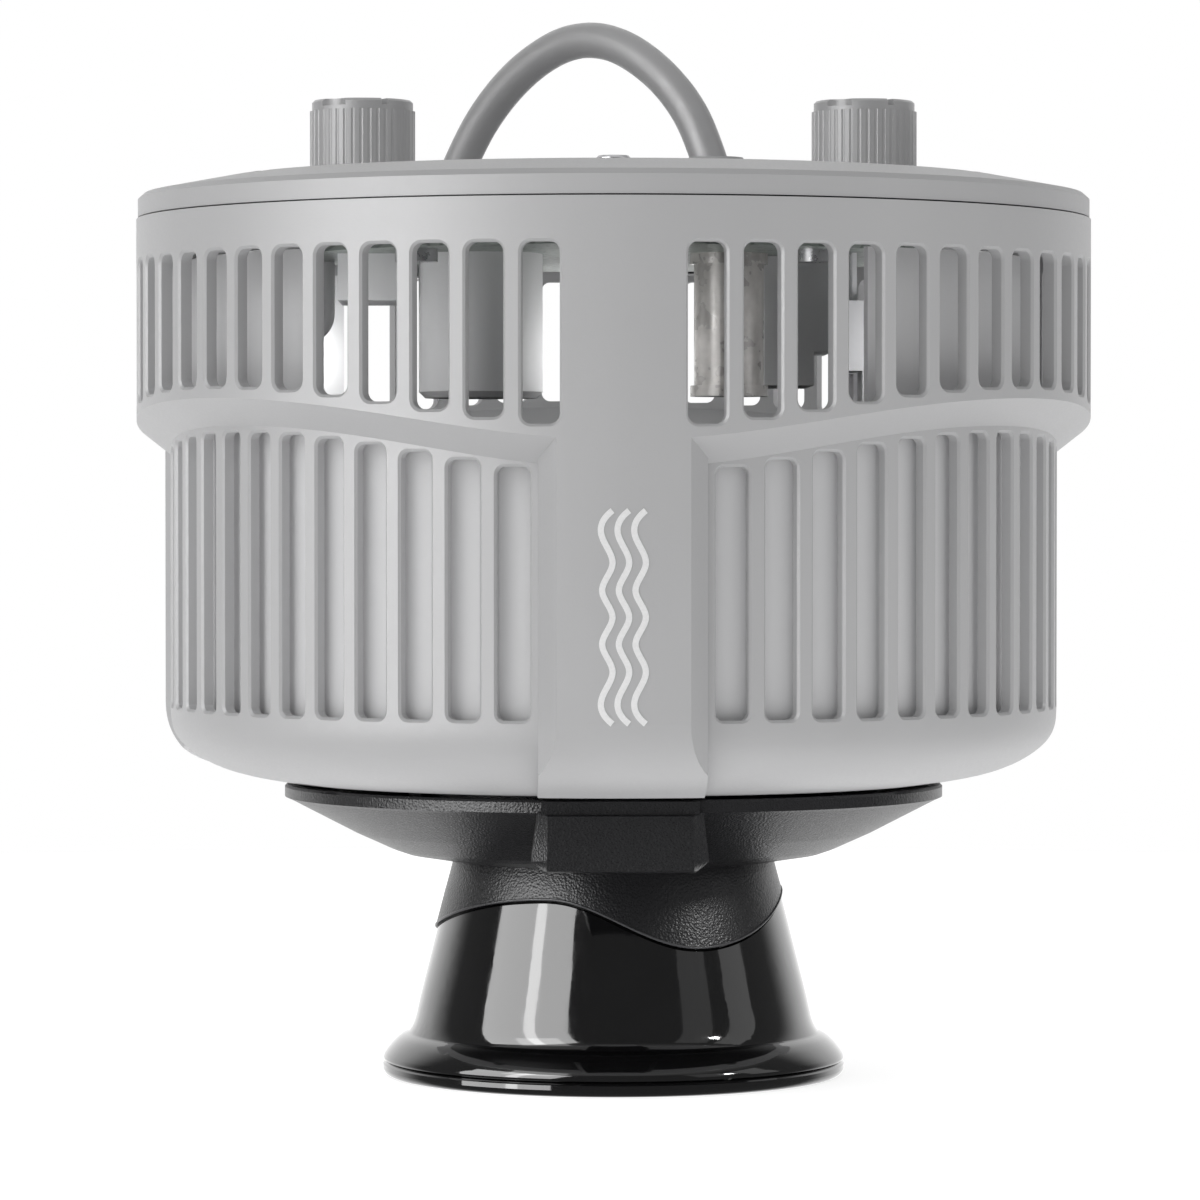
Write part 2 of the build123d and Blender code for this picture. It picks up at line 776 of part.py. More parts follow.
# Terminal block with wire entries along its side
with BuildPart() as terminal_block:
    with BuildSketch(Plane.XY.offset(101.2)):
        with Locations((-31.0, -4.0)):
            Rectangle(9.6, 20.0)
    extrude(amount=BOARD_Z - 101.2)
    for i in range(4):
        with BuildSketch(Plane.YZ.offset(-35.8)):
            with Locations((-11.5 + 5.0 * i, 103.8)):
                Rectangle(3.2, 2.6)
        extrude(amount=3.0, mode=Mode.SUBTRACT)
terminal_block.part.label = "terminal_block"
export_step(terminal_block.part, "parts/terminal_block.step")

# ---- Fan ----

fan_points = [at(FAN_SCREW_R, a) for a in FAN_SCREW_ANGLES]

with BuildPart() as fan_frame:
    with BuildSketch(Plane.XY.offset(FAN_Z)):
        Circle(48.4)
        with Locations(*fan_points):
            Circle(2.9)
        Circle(46.2, mode=Mode.SUBTRACT)
        with Locations(*fan_points):
            Circle(1.65, mode=Mode.SUBTRACT)
    extrude(amount=FAN_DEPTH)
    with BuildSketch(Plane.XY.offset(FAN_Z)):
        Circle(16.0)
        with PolarLocations(31.0, 4, start_angle=20.0):
            Rectangle(33.0, 3.2)
    extrude(amount=2.0)
    with BuildSketch(Plane.XY.offset(FAN_Z + 2.0)):
        Circle(4.4)
        Circle(3.05, mode=Mode.SUBTRACT)
    extrude(amount=9.0)
fan_frame.part.label = "fan_frame"
export_step(fan_frame.part, "parts/fan_frame.step")

with BuildPart() as fan_stator:
    with BuildSketch(Plane.XY.offset(FAN_Z + 2.2)):
        Circle(7.5)
        with PolarLocations(9.5, 4):
            Rectangle(6.0, 3.4)
        with PolarLocations(12.6, 4):
            Rectangle(1.8, 11.0)
        Circle(4.45, mode=Mode.SUBTRACT)
    extrude(amount=8.0)
fan_stator.part.label = "fan_stator"
export_step(fan_stator.part, "parts/fan_stator.step")

with BuildPart() as fan_bearing:
    with BuildSketch(Plane.XY.offset(FAN_Z + 2.2)):
        Circle(3.0)
        Circle(1.55, mode=Mode.SUBTRACT)
    extrude(amount=8.8)
fan_bearing.part.label = "fan_bearing"
export_step(fan_bearing.part, "parts/fan_bearing.step")

with BuildPart() as fan_rotor:
    with BuildSketch(Plane.XY.offset(FAN_Z + 2.8)):
        Circle(16.5)
    extrude(amount=11.7)
    with BuildSketch(Plane.XY.offset(FAN_Z + 2.8)):
        Circle(14.8)
    extrude(amount=10.2, mode=Mode.SUBTRACT)
    with BuildSketch(Plane.XY.offset(FAN_Z + 2.5)):
        Circle(1.5)
    extrude(amount=11.0)
    for i in range(7):
        spin = 360.0 / 7 * i
        for radius, chord, pitch in ((16.0, 12.5, 48.0), (44.0, 20.5, 27.0)):
            with BuildSketch(facing(radius, spin)):
                with Locations(Location((0, FAN_Z + 8.6), pitch)):
                    SlotOverall(chord, 1.5)
        loft()
fan_rotor.part.label = "fan_rotor"
export_step(fan_rotor.part, "parts/fan_rotor.step")

fan_screws = screws(fan_points, 50.5, FAN_Z + FAN_DEPTH + 1.8, 1.45, 2.7, 1.8)
fan_screws.part.label = "fan_screws"
export_step(fan_screws.part, "parts/fan_screws.step")

# ---- Heat sink, air duct and light source ----

with BuildPart() as heat_sink:
    with BuildSketch(Plane.XY.offset(SINK_Z)):
        Circle(SINK_R)
        with Locations((53.0, 0)):
            Rectangle(7.0, 6.0, mode=Mode.SUBTRACT)
    extrude(amount=SINK_BASE)
    with BuildSketch(Plane.XY.offset(SINK_Z + SINK_BASE)):
        with PolarLocations(29.5, 30):
            Rectangle(35.0, 1.3)
        Circle(13.0)
        with Locations(*fan_points):
            Circle(2.9)
    extrude(amount=FIN_TOP_Z - SINK_Z - SINK_BASE)
    with BuildSketch(Plane.XY.offset(FIN_TOP_Z)):
        with Locations(*fan_points):
            Circle(2.9)
    extrude(amount=FAN_Z - FIN_TOP_Z)
    with BuildSketch(Plane.XY.offset(50.3)):
        with Locations(*fan_points):
            Circle(1.5)
    extrude(amount=20.0, mode=Mode.SUBTRACT)
    with BuildSketch(Plane.XY.offset(SINK_Z)):
        with Locations(*[at(SINK_SCREW_R, a) for a in BETWEEN]):
            Circle(1.3)
        with Locations(*[at(20.5, a) for a in THIRDS]):
            Circle(1.3)
    extrude(amount=4.2, mode=Mode.SUBTRACT)
heat_sink.part.label = "heat_sink"
export_step(heat_sink.part, "parts/heat_sink.step")

sink_screws = screws(
    [at(SINK_SCREW_R, a) for a in BETWEEN], BASE_Z + 0.8, 53.0, 1.25, 2.7, 1.6, head_up=False
)
sink_screws.part.label = "sink_screws"
export_step(sink_screws.part, "parts/sink_screws.step")

# Thin sleeve behind the lower slots: air leaves below its lower edge, and its sides stand taller
# behind the upper slots
with BuildPart() as air_duct_sleeve:
    with BuildSketch(Plane.XY.offset(47.5)):
        Circle(SLEEVE_R)
        Circle(SLEEVE_R - 0.8, mode=Mode.SUBTRACT)
    extrude(amount=36.7)
    for start, end in ((33.0, 138.0), (222.0, 318.0)):
        with BuildSketch(Plane.XY.offset(84.2)):
            with BuildLine():
                corners = [at(90.0, start + (end - start) * i / 3)[:2] for i in range(4)]
                Polyline((0, 0), *corners, close=True)
            make_face()
            Circle(SLEEVE_R, mode=Mode.INTERSECT)
            Circle(SLEEVE_R - 0.8, mode=Mode.SUBTRACT)
        extrude(amount=22.4)
air_duct_sleeve.part.label = "air_duct_sleeve"
export_step(air_duct_sleeve.part, "parts/air_duct_sleeve.step")

with BuildPart() as thermal_pad:
    with BuildSketch(Plane.XY.offset(LED_BOARD_Z + 1.6)):
        Circle(23.8)
        with Locations(*[at(20.5, a) for a in THIRDS]):
            Circle(1.6, mode=Mode.SUBTRACT)
    extrude(amount=SINK_Z - LED_BOARD_Z - 1.6)
thermal_pad.part.label = "thermal_pad"
export_step(thermal_pad.part, "parts/thermal_pad.step")

with BuildPart() as led_board:
    with BuildSketch(Plane.XY.offset(LED_BOARD_Z)):
        Circle(24.0)
        with Locations(*[at(20.5, a) for a in THIRDS]):
            Circle(1.6, mode=Mode.SUBTRACT)
    extrude(amount=1.6)
led_board.part.label = "led_board"
export_step(led_board.part, "parts/led_board.step")

emitter_points = [
    (4.6 * i, 4.6 * j) for i in range(-3, 4) for j in range(-3, 4) if i * i + j * j <= 10
]
with BuildPart() as led_emitters:
    with BuildSketch(Plane.XY.offset(LED_BOARD_Z)):
        with Locations(*emitter_points):
            Rectangle(3.5, 3.5)
    extrude(amount=-0.8)
led_emitters.part.label = "led_emitters"
export_step(led_emitters.part, "parts/led_emitters.step")

led_screws = screws(
    [at(20.5, a) for a in THIRDS], LED_BOARD_Z - 1.4, 53.0, 1.25, 2.4, 1.4, head_up=False
)
led_screws.part.label = "led_screws"
export_step(led_screws.part, "parts/led_screws.step")

# Plano-convex lens with a flat flange
with BuildPart() as lens:
    with BuildSketch(Plane.XZ):
        with BuildLine():
            Polyline((19.0, LENS_Z + 2.0), (LENS_R, LENS_Z + 2.0), (LENS_R, LENS_Z), (0, LENS_Z))
            Line((0, LENS_Z), (0, LENS_Z + 5.8))
            ThreePointArc((0, LENS_Z + 5.8), (10.5, LENS_Z + 4.7), (19.0, LENS_Z + 2.0))
        make_face()
    revolve(axis=Axis.Z)
lens.part.label = "lens"
export_step(lens.part, "parts/lens.step")

with BuildPart() as lens_gasket:
    with BuildSketch(Plane.XY.offset(BASE_Z)):
        Circle(LENS_R - 0.1)
        Circle(21.2, mode=Mode.SUBTRACT)
    extrude(amount=LENS_Z - BASE_Z)
lens_gasket.part.label = "lens_gasket"
export_step(lens_gasket.part, "parts/lens_gasket.step")

# Ring that holds the lens and carries the reflector's bayonet lugs
with BuildPart() as lens_ring:
    with BuildSketch(Plane.XY.offset(LENS_RING_Z)):
        Circle(32.6)
        Circle(20.9, mode=Mode.SUBTRACT)
    extrude(amount=BASE_Z - LENS_RING_Z)
    for angle in BETWEEN:
        with BuildSketch(Plane.XY.offset(LENS_RING_Z)):
            with BuildLine():
                Polyline(
                    (0, 0),
                    at(44.0, angle - LUG_WIDTH / 2)[:2],
                    at(44.0, angle + LUG_WIDTH / 2)[:2],
                    close=True,
                )
            make_face()
            Circle(35.8, mode=Mode.INTERSECT)
            Circle(30.0, mode=Mode.SUBTRACT)
        extrude(amount=1.3)
        # A stop at the end of each lug sets the locked position
        with BuildSketch(Plane.XY.offset(LENS_RING_Z)):
            with BuildLine():
                Polyline(
                    (0, 0),
                    at(44.0, angle + LUG_WIDTH / 2 + 0.8)[:2],
                    at(44.0, angle + LUG_WIDTH / 2 + 5.0)[:2],
                    close=True,
                )
            make_face()
            Circle(34.6, mode=Mode.INTERSECT)
            Circle(30.0, mode=Mode.SUBTRACT)
        extrude(amount=3.0)
    with Locations(*[(*at(28.2, a)[:2], LENS_RING_Z) for a in THIRDS]):
        Hole(radius=1.6)
    with BuildSketch(Plane.XY.offset(LENS_RING_Z)):
        with Locations(*[at(28.2, a) for a in THIRDS]):
            Circle(2.9)
    extrude(amount=1.7, mode=Mode.SUBTRACT)
lens_ring.part.label = "lens_ring"
export_step(lens_ring.part, "parts/lens_ring.step")

ring_screws = screws(
    [at(28.2, a) for a in THIRDS], 35.3, 42.2, 1.15, 2.6, 1.5, head_up=False
)
ring_screws.part.label = "ring_screws"
export_step(ring_screws.part, "parts/ring_screws.step")

# ---- Wires ----

led_cable = wire(
    [(39.0, 0, BOARD_Z), (39.0, 0, 102.0), (51.6, 0, 94.0), (51.6, 0, 45.6), (23.4, 0, 45.6)],
    [2.0, 4.0, 3.0],
    1.2,
)
led_cable.part.label = "led_cable"
export_step(led_cable.part, "parts/led_cable.step")

fan_cable = wire(
    [(-38.0, 12.0, BOARD_Z), (-38.0, 12.0, 99.0), (-45.7, 12.0, 92.0), (-45.7, 12.0, 82.0)],
    [3.0, 3.0],
    1.0,
)
fan_cable.part.label = "fan_cable"
export_step(fan_cable.part, "parts/fan_cable.step")

# ---- Reflector ----

with BuildPart() as reflector_body:
    levels = [CONE_TOP_Z, 24.0, 20.0, SLEEVE_LOW_Z]
    outside = [(cone_r(z) + SLEEVE_PROUD, z) for z in levels]
    seat = [(cone_r(z) - SLEEVE_SEAT, z) for z in reversed(levels)]
    revolve(
        outline(
            [
                (42.9, FLANGE_TOP_Z),
                (FLANGE_R, FLANGE_TOP_Z - 0.3),
                (FLANGE_R, 36.7),
                (42.5, 36.4),
                (34.0, 32.0),
                (29.0, 29.75),
                (27.4, 29.2),
                *outside,
                *seat,
                (18.6, CONE_TOP_Z),
                (18.6, FLANGE_TOP_Z),
            ]
        ),
        axis=Axis.Z,
    )
    add(
        wavy_ring([(15.0, 0), (34.0, 0), (34.0, -14.0), (15.0, -14.0)], 22.5, sleeve_edge),
        mode=Mode.SUBTRACT,
    )
    # Grip tab at the front: it hangs from the flange, with slanted sides and lower corners
    with BuildSketch(Plane.XZ.offset(30.0)):
        with BuildLine():
            Polyline(*TAB_OUTLINE, close=True)
        make_face()
    extrude(amount=12.4)
    with BuildSketch(Plane.XZ.offset(42.4)):
        with BuildLine():
            Polyline(*TAB_OUTLINE, close=True)
        make_face()
    with BuildSketch(Plane.XZ.offset(44.2)):
        with BuildLine():
            Polyline((-9.0, 36.4), (9.0, 36.4), (9.1, 29.6), (-9.1, 29.6), close=True)
        make_face()
    loft()
    # The tab's shoulder covers the flange's edge
    with BuildSketch(Plane.XZ.offset(38.0)):
        with Locations((0, 37.3)):
            Rectangle(19.6, 1.8)
    extrude(amount=5.5)
    # The dish's inside
    floor = [(18.5, 30.2), (27.0, 30.8), (28.6, 31.2), (33.6, 33.5), (41.7, 37.7), (41.7, 40.0)]
    revolve(outline([*floor, (18.5, 40.0)]), axis=Axis.Z, mode=Mode.SUBTRACT)
    # Bayonet lugs reach inwards over the lens ring's lugs
    for angle in BETWEEN:
        with BuildSketch(Plane.XY.offset(36.8)):
            with BuildLine():
                Polyline(
                    (0, 0),
                    at(46.0, angle - LUG_WIDTH / 2)[:2],
                    at(46.0, angle + LUG_WIDTH / 2)[:2],
                    close=True,
                )
            make_face()
            Circle(42.0, mode=Mode.INTERSECT)
            Circle(33.2, mode=Mode.SUBTRACT)
        extrude(amount=1.3)
reflector_body.part.label = "reflector_body"
export_step(reflector_body.part, "parts/reflector_body.step")

# The seat for the sleeve: above the wave, the cone is thinner by the sleeve's wall
with BuildPart() as seat_cutter:
    levels = [29.5, 24.0, 18.0, SLEEVE_LOW_Z]
    seat = [(cone_r(z) - SLEEVE_SEAT - 0.05, z) for z in levels]
    revolve(outline([*seat, (34.0, SLEEVE_LOW_Z), (34.0, 29.5)]), axis=Axis.Z)
    add(
        wavy_ring([(15.0, -0.4), (36.0, -0.4), (36.0, -16.0), (15.0, -16.0)], 22.5, sleeve_edge),
        mode=Mode.SUBTRACT,
    )

# The cone flares at its foot, down to a narrow groove above the rim
with BuildPart() as reflector_cone:
    with BuildSketch(Plane.XZ):
        with BuildLine():
            Spline(
                (cone_r(CONE_TOP_Z - 0.1), CONE_TOP_Z - 0.1),
                (cone_r(21.0), 21.0),
                (cone_r(14.0), 14.0),
                (cone_r(9.0), 9.0),
                (26.45, 6.4),
                (27.6, 4.85),
                (29.3, 3.3),
                (30.1, 2.4),
            )
            Polyline(
                (30.1, 2.4),
                (29.8, 1.9),
                (25.2, 1.9),
                (cone_r(CONE_BASE_Z) - CONE_WALL, CONE_BASE_Z),
                (cone_r(17.6) - CONE_WALL, 17.6),
                (cone_r(CONE_TOP_Z) - CONE_WALL, CONE_TOP_Z - 0.1),
                (cone_r(CONE_TOP_Z - 0.1), CONE_TOP_Z - 0.1),
            )
        make_face()
    revolve(axis=Axis.Z)
    add(seat_cutter.part, mode=Mode.SUBTRACT)
reflector_cone.part.label = "reflector_cone"
export_step(reflector_cone.part, "parts/reflector_cone.step")

with BuildPart() as reflector_rim:
    with BuildSketch(Plane.XZ):
        with BuildLine():
            Polyline((24.6, 1.85), (30.0, 1.85), (30.35, 1.5), (30.35, 0.9))
            ThreePointArc((30.35, 0.9), (30.0, 0.27), (29.3, 0))
            Polyline((29.3, 0), (25.6, 0), (24.6, 0.8), (24.6, 1.85))
        make_face()
    revolve(axis=Axis.Z)
reflector_rim.part.label = "reflector_rim"
export_step(reflector_rim.part, "parts/reflector_rim.step")

with BuildPart() as mirror_liner:
    levels = [33.8, 28.0, 21.0, 14.0, CONE_BASE_Z, 3.4]
    wall = [(cone_r(z) - CONE_WALL - 0.1, z) for z in levels]
    bright = [(cone_r(z) - CONE_WALL - 0.9, z) for z in reversed(levels)]
    revolve(outline([*wall, *bright]), axis=Axis.Z)
mirror_liner.part.label = "mirror_liner"
export_step(mirror_liner.part, "parts/mirror_liner.step")
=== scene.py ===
"""Looks of the aquarium pendant light with its twist-on reflector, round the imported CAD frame."""

import math

import bmesh
import bpy
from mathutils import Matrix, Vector


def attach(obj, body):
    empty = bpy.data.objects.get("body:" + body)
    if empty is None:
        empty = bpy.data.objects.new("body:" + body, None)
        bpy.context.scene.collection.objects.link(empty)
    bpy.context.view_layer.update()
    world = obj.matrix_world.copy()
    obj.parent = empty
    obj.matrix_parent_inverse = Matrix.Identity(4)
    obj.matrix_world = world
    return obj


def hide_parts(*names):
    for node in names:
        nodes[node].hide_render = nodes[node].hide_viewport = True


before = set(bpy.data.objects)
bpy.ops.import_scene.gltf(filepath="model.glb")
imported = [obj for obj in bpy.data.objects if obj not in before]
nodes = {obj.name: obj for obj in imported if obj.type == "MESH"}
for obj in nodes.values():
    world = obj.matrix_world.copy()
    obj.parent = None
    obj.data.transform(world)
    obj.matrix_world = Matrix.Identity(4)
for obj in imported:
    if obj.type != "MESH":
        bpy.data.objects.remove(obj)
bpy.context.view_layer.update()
MM = 0.001

# ---------------------------------------------------------------- paint helpers


def linear(srgb):
    """A linear colour from 0 to 255 sRGB numbers."""
    out = []
    for value in srgb:
        c = value / 255
        out.append(c / 12.92 if c <= 0.04045 else ((c + 0.055) / 1.055) ** 2.4)
    return (*out, 1.0)


class Paint:
    """A Principled material under construction, with short calls for its procedural detail."""

    def __init__(self, name, colour, roughness, metallic=0.0, **sockets):
        self.material = bpy.data.materials.new(name)
        self.material.use_nodes = True
        self.tree = self.material.node_tree
        self.shader = self.tree.nodes["Principled BSDF"]
        self.colour = colour
        self.shader.inputs["Base Color"].default_value = colour
        self.shader.inputs["Roughness"].default_value = roughness
        self.shader.inputs["Metallic"].default_value = metallic
        self.roughness = roughness
        for socket, value in sockets.items():
            self.shader.inputs[socket.replace("_", " ")].default_value = value
        coords = self.tree.nodes.new("ShaderNodeTexCoord")
        self.place = coords.outputs["Object"]

    def node(self, kind, **settings):
        made = self.tree.nodes.new("ShaderNode" + kind)
        for key, value in settings.items():
            if hasattr(made, key):
                setattr(made, key, value)
            else:
                made.inputs[key.replace("_", " ")].default_value = value
        return made

    def link(self, output, target):
        self.tree.links.new(output, target)

    def noise(self, scale, detail=3.0, rough=0.5, stretch=None):
        """Noise at this many cells a metre, in the piece's own coordinates, stretched if asked."""
        source = self.place
        if stretch:
            mapping = self.node("Mapping")
            mapping.inputs["Scale"].default_value = stretch
            self.link(source, mapping.inputs["Vector"])
            source = mapping.outputs["Vector"]
        made = self.node("TexNoise", Scale=scale, Detail=detail, Roughness=rough)
        self.link(source, made.inputs["Vector"])
        return made.outputs["Fac"]

    def cells(self, scale, feature="F1", smooth=None):
        made = self.node("TexVoronoi", feature=feature, Scale=scale)
        if smooth is not None:
            made.feature = "SMOOTH_F1"
            made.inputs["Smoothness"].default_value = smooth
        self.link(self.place, made.inputs["Vector"])
        return made.outputs["Distance"]

    def ramp(self, value, low, high, start=0.35, end=0.65):
        """Maps value from start..end to low..high."""
        made = self.node("MapRange")
        made.inputs["From Min"].default_value = start
        made.inputs["From Max"].default_value = end
        made.inputs["To Min"].default_value = low
        made.inputs["To Max"].default_value = high
        self.link(value, made.inputs["Value"])
        return made.outputs["Result"]

    def vary_colour(self, value, darker, lighter, start=0.35, end=0.65):
        """Base colour from darker to lighter times the plain colour, by value."""
        mix = self.node("Mix", data_type="RGBA")
        mix.inputs[6].default_value = tuple(c * darker for c in self.colour[:3]) + (1.0,)
        mix.inputs[7].default_value = tuple(min(1.0, c * lighter) for c in self.colour[:3]) + (1.0,)
        self.link(self.ramp(value, 0.0, 1.0, start, end), mix.inputs[0])
        self.link(mix.outputs[2], self.shader.inputs["Base Color"])

    def vary_roughness(self, value, low, high, start=0.35, end=0.65):
        self.link(self.ramp(value, low, high, start, end), self.shader.inputs["Roughness"])

    def bump(self, *layers):
        """Stacks bump layers of (height output, strength, distance in metres)."""
        last = None
        for height, strength, distance in layers:
            made = self.node("Bump", Strength=strength, Distance=distance)
            self.link(height, made.inputs["Height"])
            if last is not None:
                self.link(last, made.inputs["Normal"])
            last = made.outputs["Normal"]
        self.link(last, self.shader.inputs["Normal"])


# ---------------------------------------------------------------- materials


def moulded(name, srgb, roughness=0.46, grain=2600.0):
    """Moulded plastic with a fine spark-eroded grain and faint flow marks."""
    paint = Paint(name, linear(srgb), roughness)
    grain_noise = paint.noise(grain, 2.0, 0.6)
    flow = paint.noise(28.0, 3.0, 0.5, stretch=(1.0, 1.0, 0.35))
    paint.vary_colour(flow, 0.965, 1.03)
    paint.vary_roughness(grain_noise, roughness - 0.05, roughness + 0.07)
    paint.bump((grain_noise, 0.28, 0.00005), (flow, 0.05, 0.0004))
    return paint.material


def satin_black():
    """Black plastic with the coarse etched grain that sparkles in a highlight."""
    paint = Paint("satin_black_grain", linear((34, 34, 36)), 0.33)
    pebbles = paint.cells(3300.0, smooth=0.5)
    fine = paint.noise(7000.0, 2.0, 0.6)
    broad = paint.noise(60.0, 2.0, 0.5)
    paint.vary_colour(broad, 0.9, 1.12)
    paint.vary_roughness(fine, 0.26, 0.4)
    paint.bump((pebbles, 0.6, 0.00008), (fine, 0.2, 0.00002))
    return paint.material


def gloss_black():
    """Polished black plastic with the faintest orange peel and wiping marks."""
    paint = Paint(
        "gloss_black_polish", linear((14, 14, 15)), 0.07, Coat_Weight=0.6, Coat_Roughness=0.03
    )
    peel = paint.noise(220.0, 2.0, 0.4)
    wipes = paint.noise(900.0, 4.0, 0.7, stretch=(1.0, 1.0, 0.08))
    paint.vary_roughness(wipes, 0.05, 0.12, 0.4, 0.7)
    paint.vary_colour(peel, 0.9, 1.1)
    paint.bump((peel, 0.06, 0.0002))
    return paint.material


def rubbery(name, srgb, roughness=0.5, sheen=0.15):
    """A soft jacket with fine mottling."""
    paint = Paint(name, linear(srgb), roughness, Sheen_Weight=sheen)
    mottle = paint.noise(700.0, 3.0, 0.6)
    broad = paint.noise(45.0, 2.0, 0.5)
    paint.vary_colour(broad, 0.95, 1.05)
    paint.vary_roughness(mottle, roughness - 0.07, roughness + 0.08)
    paint.bump((mottle, 0.15, 0.00006))
    return paint.material


def metal(name, srgb, roughness, stretch=(1.0, 1.0, 1.0), grain=900.0):
    """Machined or plated metal with directional marks."""
    paint = Paint(name, linear(srgb), roughness, metallic=1.0)
    marks = paint.noise(grain, 4.0, 0.65, stretch=stretch)
    stain = paint.noise(80.0, 2.0, 0.5)
    paint.vary_colour(stain, 0.9, 1.05)
    paint.vary_roughness(marks, roughness - 0.08, roughness + 0.12)
    paint.bump((marks, 0.12, 0.00005))
    return paint.material


def mirror():
    """Vacuum-metallised liner: bright, with a faint ripple from the moulding."""
    paint = Paint("vacuum_mirror", linear((226, 226, 224)), 0.06, metallic=1.0)
    ripple = paint.noise(160.0, 2.0, 0.5)
    paint.vary_roughness(ripple, 0.04, 0.11)
    paint.vary_colour(ripple, 0.95, 1.02)
    paint.bump((ripple, 0.05, 0.0003))
    return paint.material


def clear_glass():
    """The lens: clear, very slightly cool, with a trace of dust."""
    paint = Paint("lens_glass", (0.93, 0.97, 1.0, 1.0), 0.03, Transmission_Weight=1.0, IOR=1.5)
    dust = paint.noise(500.0, 4.0, 0.7)
    paint.vary_roughness(dust, 0.015, 0.09, 0.45, 0.8)
    paint.bump((dust, 0.02, 0.00003))
    return paint.material


def board():
    """Solder mask with darker tracks under it, muted to near grey."""
    paint = Paint("board_mask", linear((128, 135, 130)), 0.4)
    tracks = paint.cells(240.0, feature="DISTANCE_TO_EDGE")
    weave = paint.noise(1400.0, 2.0, 0.6)
    paint.vary_colour(tracks, 0.72, 1.15, 0.02, 0.06)
    paint.vary_roughness(weave, 0.3, 0.45)
    paint.bump((tracks, 0.25, 0.00006), (weave, 0.1, 0.00003))
    return paint.material


def white_mask():
    """White solder mask of the LED board."""
    paint = Paint("led_board_mask", linear((228, 228, 224)), 0.4)
    mask = paint.noise(900.0, 2.0, 0.6)
    tracks = paint.cells(320.0, feature="DISTANCE_TO_EDGE")
    paint.vary_colour(tracks, 0.9, 1.02, 0.02, 0.06)
    paint.bump((mask, 0.1, 0.00003), (tracks, 0.2, 0.00004))
    return paint.material


def phosphor():
    """Yellow phosphor under a clear dome, unlit."""
    paint = Paint("led_phosphor", linear((226, 196, 70)), 0.25, Coat_Weight=0.7)
    specks = paint.noise(2600.0, 3.0, 0.7)
    paint.vary_colour(specks, 0.85, 1.1)
    paint.vary_roughness(specks, 0.2, 0.35)
    paint.bump((specks, 0.12, 0.00004))
    return paint.material


def winding(name, srgb):
    """Enamelled wire laid side by side."""
    paint = Paint(name, linear(srgb), 0.42, metallic=0.25, Coat_Weight=0.3)
    tone = paint.noise(260.0, 3.0, 0.6)
    paint.vary_colour(tone, 0.75, 1.15)
    paint.vary_roughness(tone, 0.22, 0.42)
    paint.bump((paint.noise(1800.0, 2.0, 0.5, stretch=(0.2, 0.2, 1.0)), 0.3, 0.00008))
    return paint.material


def ink():
    """White pad-printed ink, a touch uneven."""
    paint = Paint("white_ink", linear((246, 246, 246)), 0.5)
    edge = paint.noise(3200.0, 2.0, 0.6)
    paint.vary_colour(edge, 0.96, 1.02)
    paint.bump((edge, 0.15, 0.00003))
    return paint.material


HOUSING = moulded("housing_moulding", (190, 190, 191))
COVER = moulded("cover_moulding", (188, 188, 189), roughness=0.5)
KNOB = moulded("knob_moulding", (186, 186, 187), roughness=0.38, grain=3200.0)
# Painted light: the duct and the inner parts are given paler colours than their plastics, so they
# stay pale in the shade inside the housing
DUCT = moulded("duct_moulding", (226, 226, 227), roughness=0.7)
POTTING = moulded("component_case", (216, 216, 217), roughness=0.5)
CAPACITOR = moulded("capacitor_sleeve", (218, 218, 219), roughness=0.4)
DEVICE = moulded("device_case", (204, 204, 206), roughness=0.5)
SATIN = satin_black()
GLOSS = gloss_black()
CABLE = rubbery("tether_jacket", (176, 176, 177), 0.42, 0.05)
GREY_RUBBER = rubbery("gland_rubber", (174, 174, 175), 0.55)
BLACK_RUBBER = rubbery("gasket_rubber", (32, 32, 33), 0.6)
WIRE = rubbery("wire_insulation", (200, 200, 201), 0.5)
STEEL = metal("plated_steel", (196, 196, 198), 0.3)
ZINC = metal("plated_can", (178, 178, 180), 0.38)
BRASS = metal("machined_brass", (196, 168, 108), 0.28, stretch=(1.0, 1.0, 6.0))
ALUMINIUM = metal("cast_aluminium", (172, 172, 175), 0.42, grain=1500.0)
BLACK_PLASTIC = moulded("black_moulding", (38, 38, 40), roughness=0.45)
MIRROR = mirror()
GLASS = clear_glass()
BOARD = board()
LED_BOARD = white_mask()
PHOSPHOR = phosphor()
WINDING = winding("copper_winding", (184, 181, 178))
INK = ink()

FINISH = {
    HOUSING: ["housing_shell"],
    COVER: ["top_cover"],
    KNOB: ["intensity_knob", "colour_knob"],
    DUCT: ["air_duct_sleeve"],
    POTTING: ["power_module", "terminal_block"],
    CAPACITOR: ["bulk_capacitors"],
    DEVICE: ["power_transistors"],
    SATIN: ["reflector_body"],
    GLOSS: ["reflector_cone", "reflector_rim"],
    GREY_RUBBER: ["front_gland", "rear_gland", "thermal_pad"],
    BLACK_RUBBER: ["cover_gasket", "lens_gasket"],
    WIRE: ["led_cable", "fan_cable"],
    STEEL: [
        "mounting_insert", "socket_nuts", "pot_nuts", "intensity_shaft", "colour_shaft",
        "cover_screws", "board_screws", "fan_screws", "sink_screws", "led_screws", "ring_screws",
    ],
    ZINC: ["intensity_pot", "colour_pot"],
    BRASS: ["board_standoffs", "fan_bearing"],
    ALUMINIUM: ["heat_sink"],
    BLACK_PLASTIC: ["dc_inlet", "control_jack", "fan_frame", "fan_rotor", "lens_ring"],
    MIRROR: ["mirror_liner"],
    GLASS: ["lens"],
    BOARD: ["driver_board"],
    LED_BOARD: ["led_board"],
    PHOSPHOR: ["led_emitters"],
    WINDING: ["fan_stator", "wound_choke", "filter_choke"],
    INK: ["printed_mark"],
}
for material, names in FINISH.items():
    for name in names:
        nodes[name].data.materials.clear()
        nodes[name].data.materials.append(material)

# ---------------------------------------------------------------- camera, light and floor

